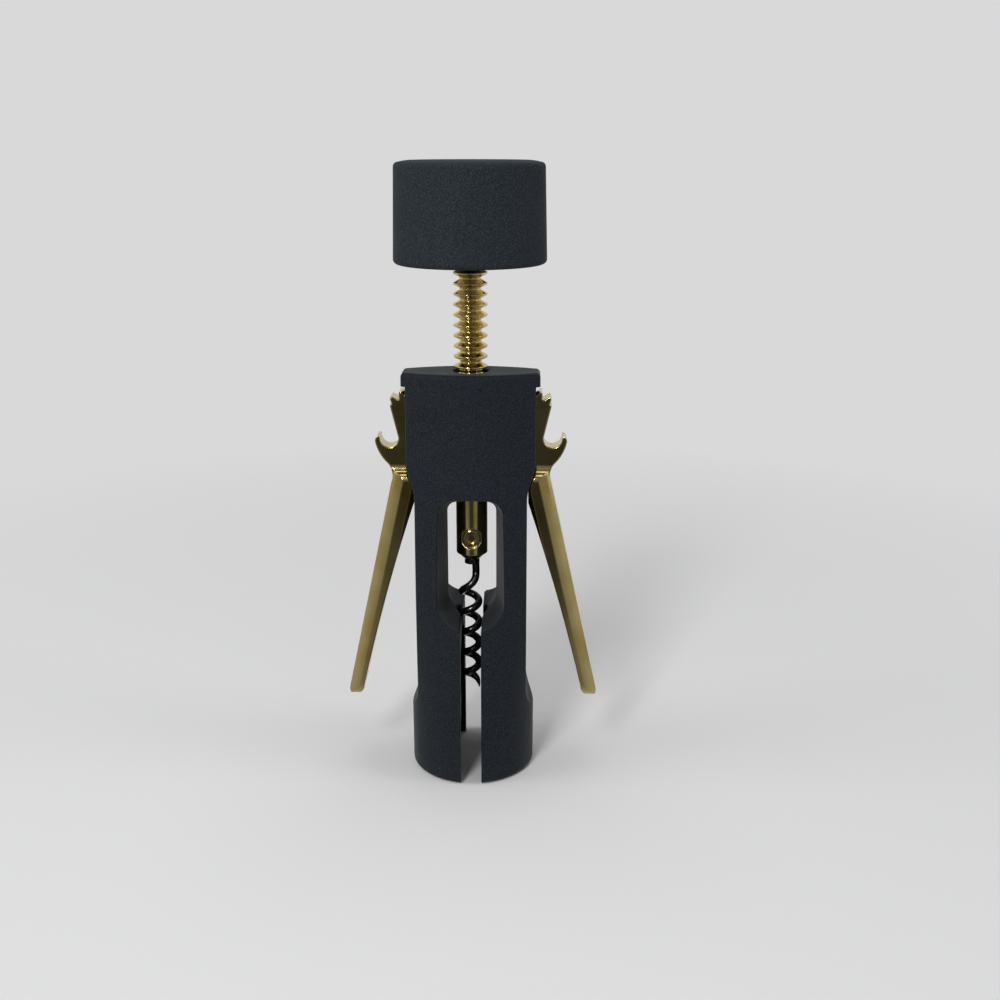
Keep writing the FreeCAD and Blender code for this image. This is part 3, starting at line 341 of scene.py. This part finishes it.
@dataclass(frozen=True)
class TurnedSteel(Finish):
    """Plain turned steel, barely polished, as rivets and pins are: grey and satin."""

    dull: str
    roughness: float
    grain_mm: float = 0.4
    grain_layers: float = 3.0
    grain_height_mm: float = 0.006
    grain_strength: float = 0.5
    smooth_share: float = 0.7
    rough_share: float = 1.3

    def surface(self, tree: bpy.types.NodeTree, place: bpy.types.NodeSocket) -> Inputs:
        """Add the fine grain that turning and cutting leave.

        Args:
            tree: The node tree that gets the nodes.
            place: Where on the object a point lies.

        Returns:
            The inputs of the steel's shader.
        """
        grain = add_node(tree, "TexNoise", inputs={
            "Vector": place, "Scale": per_metre(self.grain_mm), "Detail": self.grain_layers})
        dulled = add_node(tree, "MapRange", inputs=NOISE_SPAN | {"Value": grain.outputs[0]})
        colour = add_node(tree, "Mix", {"data_type": "RGBA"}, {
            "Factor": dulled.outputs[0], 6: linear(self.colour), 7: linear(self.dull)})
        rough = add_node(tree, "MapRange", inputs=NOISE_SPAN | {
            "Value": grain.outputs[0], "To Min": self.roughness * self.smooth_share,
            "To Max": self.roughness * self.rough_share})
        relief = add_node(tree, "Bump", inputs={
            "Height": grain.outputs[0], "Distance": self.grain_height_mm * MM,
            "Strength": self.grain_strength})
        return {
            "Base Color": colour.outputs[2], "Metallic": 1.0,
            "Roughness": rough.outputs[0], "Normal": relief.outputs[0]}


@dataclass(frozen=True)
class MouldedPlastic(Finish):
    """Injection moulded plastic with the fine spark-eroded texture of its mould: soft, even."""

    flow: str
    roughness: float
    flow_mm: float = 4.0
    flow_layers: float = 2.0
    grain_mm: float = 0.3
    grain_layers: float = 2.0
    grain_height_mm: float = 0.01
    grain_strength: float = 0.5
    gloss_swing: float = 0.05
    see_in: float = 0.0
    see_in_mm: float = 1.0

    def surface(self, tree: bpy.types.NodeTree, place: bpy.types.NodeSocket) -> Inputs:
        """Add the mould's grain, and faint streaks along the melt's flow.

        Args:
            tree: The node tree that gets the nodes.
            place: Where on the object a point lies.

        Returns:
            The inputs of the plastic's shader.
        """
        grain = add_node(tree, "TexNoise", inputs={
            "Vector": place, "Scale": per_metre(self.grain_mm), "Detail": self.grain_layers})
        rough = add_node(tree, "MapRange", inputs=NOISE_SPAN | {
            "Value": grain.outputs[0], "To Min": self.roughness - self.gloss_swing,
            "To Max": self.roughness + self.gloss_swing})
        # the melt's flow leaves faint streaks of a second tone
        flow = add_node(tree, "TexNoise", inputs={
            "Vector": place, "Scale": per_metre(self.flow_mm), "Detail": self.flow_layers})
        streaks = add_node(tree, "MapRange", inputs=NOISE_SPAN | {"Value": flow.outputs[0]})
        colour = add_node(tree, "Mix", {"data_type": "RGBA"}, {
            "Factor": streaks.outputs[0], 6: linear(self.colour), 7: linear(self.flow)})
        relief = add_node(tree, "Bump", inputs={
            "Height": grain.outputs[0], "Distance": self.grain_height_mm * MM,
            "Strength": self.grain_strength})
        return {
            "Base Color": colour.outputs[2], "Roughness": rough.outputs[0],
            "Normal": relief.outputs[0], "IOR": PLASTIC_IOR,
            "Subsurface Weight": self.see_in, "Subsurface Scale": self.see_in_mm * MM}


class Look(Enum):
    """The finishes, one for each real material and how its surface was made."""

    FRAME_COAT = MatteCoat(
        "soft_feel_coat_on_zinc", "#11161B", "#2A3037", 0.7, specular=0.13, sheen=0.16)
    GRIP_COAT = MatteCoat(
        "soft_feel_coat_on_grip", "#1B2025", "#343B42", 0.7, specular=0.1, sheen=0.01)
    LEVER_PLATE = PolishedPlate("brass_plate_on_zinc", "#DCCA8E", "#BDA765", 0.12)
    SPINDLE_PLATE = TurnedPlate("brass_plate_on_turned_steel", "#DFCE94", "#C6AF6C", 0.15)
    WORM_COAT = BakedCoat("baked_nonstick_coat", "#050505", "#0B0B0C", 0.2)
    PIN_STEEL = TurnedSteel("turned_steel", "#BFBCB2", "#A9A69C", 0.28)
    NYLON = MouldedPlastic("natural_nylon", "#DDD9CC", "#D3CFBF", 0.45, see_in=0.2)
    ABS = MouldedPlastic("moulded_abs", "#15171A", "#1A1C20", 0.5)


# ---------------------------------------------------------------- sub-assemblies


@dataclass
class SubAssembly:
    """CAD nodes that are dressed together, each with its own finish."""

    name: str
    nodes: dict[str, Look]

    def dress(self, materials: dict[Look, bpy.types.Material]) -> int:
        """Put the finishes on the nodes.

        Args:
            materials: One material for each look.

        Returns:
            The number of nodes dressed.
        """
        for node, look in self.nodes.items():
            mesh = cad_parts[node].data
            mesh.materials.clear()
            mesh.materials.append(materials[look])
            LOG.info("%s: %s gets %s", self.name, node, materials[look].name)
        return len(self.nodes)


@dataclass
class Frame(SubAssembly):
    """Cast frame with its lever pins, the guide bush and the ring that keeps it."""

    name: str = "frame"
    nodes: dict[str, Look] = field(default_factory=lambda: {
        "frame": Look.FRAME_COAT, "lever_pin_left": Look.PIN_STEEL,
        "lever_pin_right": Look.PIN_STEEL, "bush_ring": Look.PIN_STEEL,
        "guide_bush": Look.NYLON})


@dataclass
class Levers(SubAssembly):
    """The two geared levers."""

    name: str = "levers"
    nodes: dict[str, Look] = field(default_factory=lambda: {
        "lever_left": Look.LEVER_PLATE, "lever_right": Look.LEVER_PLATE})


@dataclass
class Spindle(SubAssembly):
    """Ring rack with the worm, and its rivet, whose head is plated like the levers."""

    name: str = "spindle"
    nodes: dict[str, Look] = field(default_factory=lambda: {
        "rack_spindle": Look.SPINDLE_PLATE, "worm": Look.WORM_COAT,
        "worm_rivet": Look.LEVER_PLATE})


@dataclass
class Handle(SubAssembly):
    """Turning handle: coated shell, base and cross pin."""

    name: str = "handle"
    nodes: dict[str, Look] = field(default_factory=lambda: {
        "handle_shell": Look.GRIP_COAT, "handle_base": Look.ABS,
        "handle_pin": Look.PIN_STEEL})


# ---------------------------------------------------------------- studio


def put_in_scene(name: str, data: bpy.types.ID) -> bpy.types.Object:
    """Make an object and link it to the scene.

    Args:
        name: The object's name.
        data: Its mesh, light or camera.

    Returns:
        The object.
    """
    made = bpy.data.objects.new(name, data)
    bpy.context.scene.collection.objects.link(made)
    return made


@dataclass(frozen=True)
class Lamp:
    """A soft rectangular area lamp that faces the object."""

    name: str
    place: tuple[float, float, float]
    width: float
    height: float
    power: float

    def build(self, target: Vector) -> bpy.types.Object:
        """Make the lamp.

        Args:
            target: The point that it faces.

        Returns:
            The lamp object.
        """
        data = bpy.data.lights.new(self.name, "AREA")
        data.shape = "RECTANGLE"
        data.size = self.width
        data.size_y = self.height
        data.energy = self.power
        made = put_in_scene(self.name, data)
        made.location = self.place
        made.rotation_euler = (target - Vector(self.place)).to_track_quat("-Z", "Y").to_euler()
        return made


@dataclass(frozen=True)
class PaintedReflectionCard:
    """A graded glowing card, set round polished metal as a product studio sets its cards, that
    paints reflections: only reflections see it, not the camera nor diffuse light, and it casts
    no shadow.

    It lies round the object, flat or as an upright wall. Its painted reflection is dark in
    front, so that faces towards the camera stay dark, and paler behind. The inner edge lies at
    the low height and the outer edge at the high one. Its four glow levels are those straight in
    front, beside that, at the sides and behind. It runs anticlockwise from +X.
    """

    name: str
    inner: float
    outer: float
    low: float
    high: float
    reflection_levels: tuple[float, float, float, float]
    first_deg: float = 0.0
    last_deg: float = 360.0
    steps: int = 48
    # where a tone turns into the next, by how far the way from the origin points to the back
    front_span: tuple[float, float] = (-0.985, -0.93)
    side_span: tuple[float, float] = (-0.9, -0.1)
    back_span: tuple[float, float] = (0.1, 0.8)

    def paper(self) -> bpy.types.Material:
        """Make the card's graded glow: the painted reflection that metal shows.

        Returns:
            The material.
        """
        # the card's material is a painted reflection, not paper: a glow that only mirrors show
        material, tree = new_material(self.name + "_paper")
        place = add_node(tree, "TexCoord")
        way = add_node(tree, "VectorMath", {"operation": "NORMALIZE"}, {
            0: place.outputs["Object"]})
        parts = add_node(tree, "SeparateXYZ", inputs={0: way.outputs[0]})
        front, fore, side, back = self.reflection_levels
        total = None
        for low, high, (start, end) in ((front, fore, self.front_span),
                                        (0.0, side - fore, self.side_span),
                                        (0.0, back - side, self.back_span)):
            tone = add_node(tree, "MapRange", inputs={
                "Value": parts.outputs["Y"], "From Min": start, "From Max": end,
                "To Min": low, "To Max": high}).outputs[0]
            total = tone if total is None else add_node(
                tree, "Math", {"operation": "ADD"}, {0: total, 1: tone}).outputs[0]
        # painted reflection: a glow graded by direction, which no diffuse surface receives
        glow = add_node(tree, "Emission", inputs={"Strength": total})
        add_node(tree, "OutputMaterial", inputs={"Surface": glow.outputs[0]})
        return material

    def build(self) -> bpy.types.Object:
        """Make the card.

        Returns:
            The card object.
        """
        turn = self.last_deg - self.first_deg
        angles = [math.radians(self.first_deg + turn * step / self.steps)
                  for step in range(self.steps + 1)]
        edges = ((self.inner, self.low), (self.outer, self.high))
        points = [(radius * math.cos(angle), radius * math.sin(angle), height)
                  for angle in angles for radius, height in edges]
        faces = [(2 * at, 2 * at + 1, 2 * at + 3, 2 * at + 2) for at in range(self.steps)]
        mesh = bpy.data.meshes.new(self.name)
        mesh.from_pydata(points, [], faces)
        mesh.materials.append(self.paper())
        made = put_in_scene(self.name, mesh)
        # painted reflection only: hidden from the camera and diffuse light, casting no shadow
        made.visible_camera = False
        made.visible_diffuse = False
        made.visible_shadow = False
        return made


@dataclass(frozen=True)
class Studio:
    """Plain pale sweep, soft lamps, cards painting reflections, a quiet world and the camera."""

    sweep_half: float = 2.5
    sweep_depth: float = 1.2
    sweep_bend: float = 0.5
    sweep_bend_steps: int = 24
    sweep_height: float = 2.2
    sweep_colour: str = "#D9D9D9"
    sweep_near: float = 0.1
    sweep_far: float = 0.4
    world_level: float = 0.29
    world_colour: str = "#F4F5F7"
    target: tuple[float, float, float] = (0.0, 0.0, 0.085)
    camera_place: tuple[float, float, float] = (0.01367, -0.3253, 0.1767)
    camera_tilt_deg: float = 16.5
    camera_turn_deg: float = 1.0
    camera_lens_mm: float = 43.2
    camera_sensor_mm: float = 36.0
    camera_nearest: float = 0.01
    lamps: tuple[Lamp, ...] = (
        Lamp("lamp_left", (-1.0, -0.2, 0.6), 0.5, 0.9, 2.8),
        Lamp("lamp_right", (1.0, -0.2, 0.6), 0.4, 0.9, 2.4),
        Lamp("lamp_top", (0.0, 0.1, 1.5), 1.0, 1.0, 6.5),
        Lamp("lamp_front", (-0.34, -0.9, 0.75), 0.26, 0.5, 7.8),
    )
    # glowing cards that paint reflections into the metal; only reflections see them
    cards: tuple[PaintedReflectionCard, ...] = (
        PaintedReflectionCard("card_floor", 0.028, 1.1, 0.001, 0.001, (0.04, 0.2, 0.42, 0.6)),
        PaintedReflectionCard("card_wall", 1.1, 1.1, 0.0, 1.3, (0.17, 0.23, 0.25, 0.4), 180.0, 360.0),
        PaintedReflectionCard("card_roof", 0.2, 1.1, 1.3, 1.3, (0.1, 0.14, 0.22, 0.3)),
    )

    def sweep(self) -> bpy.types.Object:
        """Make the floor that curves up into the backdrop.

        Returns:
            The sweep object.
        """
        outline: list[tuple[float, float]] = [(-self.sweep_half, 0.0), (self.sweep_depth, 0.0)]
        for step in range(1, self.sweep_bend_steps + 1):
            angle = math.pi / 2 * step / self.sweep_bend_steps
            outline.append((self.sweep_depth + self.sweep_bend * math.sin(angle),
                            self.sweep_bend * (1 - math.cos(angle))))
        outline.append((self.sweep_depth + self.sweep_bend, self.sweep_height))
        points = [(side * self.sweep_half, y, z) for y, z in outline for side in (-1, 1)]
        faces = [(at, at + 1, at + 3, at + 2) for at in range(0, len(points) - 2, 2)]
        mesh = bpy.data.meshes.new("sweep")
        mesh.from_pydata(points, [], faces)
        mesh.polygons.foreach_set("use_smooth", [True] * len(mesh.polygons))
        mesh.materials.append(self.paper())
        made = put_in_scene("sweep", mesh)
        return made

    def shown(self, tree: bpy.types.NodeTree) -> bpy.types.NodeSocket:
        """Tell the rays that show the surround: the camera's, and those off metal or in glass.

        Args:
            tree: The node tree that gets the nodes.

        Returns:
            1 for such a ray, 0 for one that only lights.
        """
        ray = add_node(tree, "LightPath")
        seen = add_node(tree, "Math", {"operation": "MAXIMUM"}, {
            0: ray.outputs["Is Camera Ray"], 1: ray.outputs["Is Glossy Ray"]})
        return add_node(tree, "Math", {"operation": "MAXIMUM"}, {
            0: seen.outputs[0], 1: ray.outputs["Is Transmission Ray"]}).outputs[0]

    def paper(self) -> bpy.types.Material:
        """Make the paper: lit by the lamps round the object, one even tone further out.

        Returns:
            The paper's material.
        """
        material, tree = new_material("sweep_paper")
        lit = add_node(tree, "BsdfDiffuse", inputs={"Color": linear(self.sweep_colour)})
        even = add_node(tree, "Emission", inputs={
            "Color": linear(self.sweep_colour), "Strength": 1.0})
        place = add_node(tree, "TexCoord")
        away = add_node(tree, "VectorMath", {"operation": "LENGTH"}, {
            0: place.outputs["Object"]})
        far = add_node(tree, "MapRange", inputs={
            "Value": away.outputs["Value"], "From Min": self.sweep_near,
            "From Max": self.sweep_far})
        share = add_node(tree, "Math", {"operation": "MULTIPLY"}, {
            0: self.shown(tree), 1: far.outputs[0]})
        mixed = add_node(tree, "MixShader", inputs={
            0: share.outputs[0], 1: lit.outputs[0], 2: even.outputs[0]})
        add_node(tree, "OutputMaterial", inputs={"Surface": mixed.outputs[0]})
        return material

    def world(self) -> None:
        """Light everything evenly from a plain pale surround that looks like the paper."""
        world = bpy.data.worlds.new("surround")
        world.use_nodes = True
        tree = world.node_tree
        tree.nodes.clear()
        light = add_node(tree, "Background", inputs={
            "Color": linear(self.world_colour), "Strength": self.world_level})
        view = add_node(tree, "Background", inputs={
            "Color": linear(self.sweep_colour), "Strength": 1.0})
        mixed = add_node(tree, "MixShader", inputs={
            0: self.shown(tree), 1: light.outputs[0], 2: view.outputs[0]})
        add_node(tree, "OutputWorld", inputs={"Surface": mixed.outputs[0]})
        bpy.context.scene.world = world

    def camera(self) -> bpy.types.Object:
        """Make the camera that looks slightly down on the front.

        Returns:
            The camera object.
        """
        data = bpy.data.cameras.new("camera")
        data.lens = self.camera_lens_mm
        data.sensor_width = self.camera_sensor_mm
        data.clip_start = self.camera_nearest
        made = put_in_scene("camera", data)
        made.location = self.camera_place
        made.rotation_euler = (math.radians(90.0 - self.camera_tilt_deg), 0.0,
                               math.radians(self.camera_turn_deg))
        bpy.context.scene.camera = made
        return made

    def build(self) -> None:
        """Make the whole studio."""
        self.sweep()
        self.world()
        self.camera()
        for card in self.cards:
            card.build()
        for lamp in self.lamps:
            lamp.build(Vector(self.target))


# ---------------------------------------------------------------- main


def main() -> None:
    """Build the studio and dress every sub-assembly."""
    logging.basicConfig(level=logging.INFO)
    bpy.context.scene.view_settings.view_transform = "Standard"
    Studio().build()
    materials = {look: look.value.material() for look in Look}
    for assembly in (Frame(), Levers(), Spindle(), Handle()):
        LOG.info("%s: %d nodes dressed", assembly.name, assembly.dress(materials))


if __name__ == "__main__":
    main()
